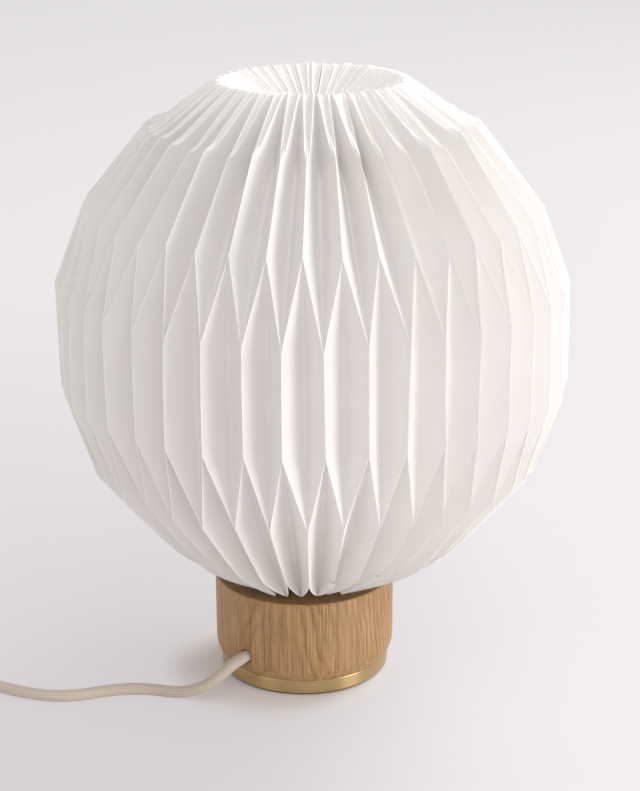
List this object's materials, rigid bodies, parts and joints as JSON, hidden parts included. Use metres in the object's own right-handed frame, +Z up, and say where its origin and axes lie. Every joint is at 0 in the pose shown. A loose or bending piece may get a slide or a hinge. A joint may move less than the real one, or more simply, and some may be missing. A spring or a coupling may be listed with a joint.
{
  "type": "pleated paper table lamp",
  "caption": "Round table lamp with a hand-pleated paper globe shade on a turned oak and brass base, with a textile cord, hand switch and plug.",
  "frame": {"origin": "on the lamp's axis, at the underside of the foot pad", "axes": "+Z up the lamp's axis, -Y towards the front, the cord leaves towards -X"},
  "size_m": [0.4719, 0.2498, 0.3036],
  "materials": {
    "shade_paper": "matt white pleated paper",
    "oak": "oiled oak, upright grain",
    "brass": "satin brushed",
    "pad": "matt dark pad",
    "steel": "zinc plated",
    "iron": "black oxide",
    "white_paint": "satin white",
    "holder_plastic": "matt white moulding",
    "holder_ceramic": "glazed",
    "contact_brass": "plain",
    "opal_glass": "satin opal dome",
    "bulb_plastic": "matt white",
    "cap_nickel": "nickel plated",
    "black_glass": "glassy black",
    "textile": "braided beige textile",
    "lead_brown": "smooth",
    "lead_blue": "smooth",
    "beige_plastic": "fine satin moulding",
    "draw_thread": "white thread"
  },
  "bodies": {
    "base": {"foot_pad": "pad", "brass_foot_ring": "brass", "base_cover": "steel", "foot_screws": "steel", "counterweight": "iron", "oak_base": "oak", "cord_grip_block": "holder_plastic", "cord_grip_bar": "holder_plastic", "cord_grip_screws": "steel", "cord_in_base": "textile", "lead_brown": "lead_brown", "lead_blue": "lead_blue", "threaded_tube": "steel", "tube_washer": "steel", "tube_nut_lower": "steel", "tube_nut_upper": "steel", "shade_carrier": "white_paint", "holder_cap": "holder_plastic", "holder_body": "holder_plastic", "holder_insulator": "holder_ceramic", "terminal_screws": "contact_brass", "holder_screw_shell": "contact_brass", "holder_contact": "contact_brass", "cord_to_switch": "textile", "switch_lower_shell": "beige_plastic", "switch_upper_shell": "beige_plastic", "switch_screws": "steel", "switch_contacts": "contact_brass", "cord_from_switch": "textile", "cord_coil": "textile", "cord_to_plug": "textile", "plug_sleeve": "beige_plastic", "plug_body": "beige_plastic", "plug_pins": "cap_nickel"},
    "shade": {"pleated_shade": "shade_paper", "top_draw_cord": "draw_thread", "bottom_draw_cord": "draw_thread"},
    "bulb": {"bulb_contact": "cap_nickel", "bulb_cap_insulator": "black_glass", "bulb_cap": "cap_nickel", "bulb_housing": "bulb_plastic", "bulb_globe": "opal_glass"},
    "rocker": {"switch_rocker": "beige_plastic"}
  },
  "joints": [
    {"name": "shade_lift", "type": "slide", "parent": "base", "child": "shade", "axis": [0, 0, 1], "range_m": [0, 0.13]},
    {"name": "bulb_unscrew", "type": "slide", "parent": "base", "child": "bulb", "axis": [0, 0, 1], "range_m": [0, 0.025]},
    {"name": "switch_rock", "type": "hinge", "parent": "base", "child": "rocker", "pos_m": [-0.227, -0.026, 0.014], "axis": [0, 1, 0], "range_deg": [-16, 0]}
  ]
}
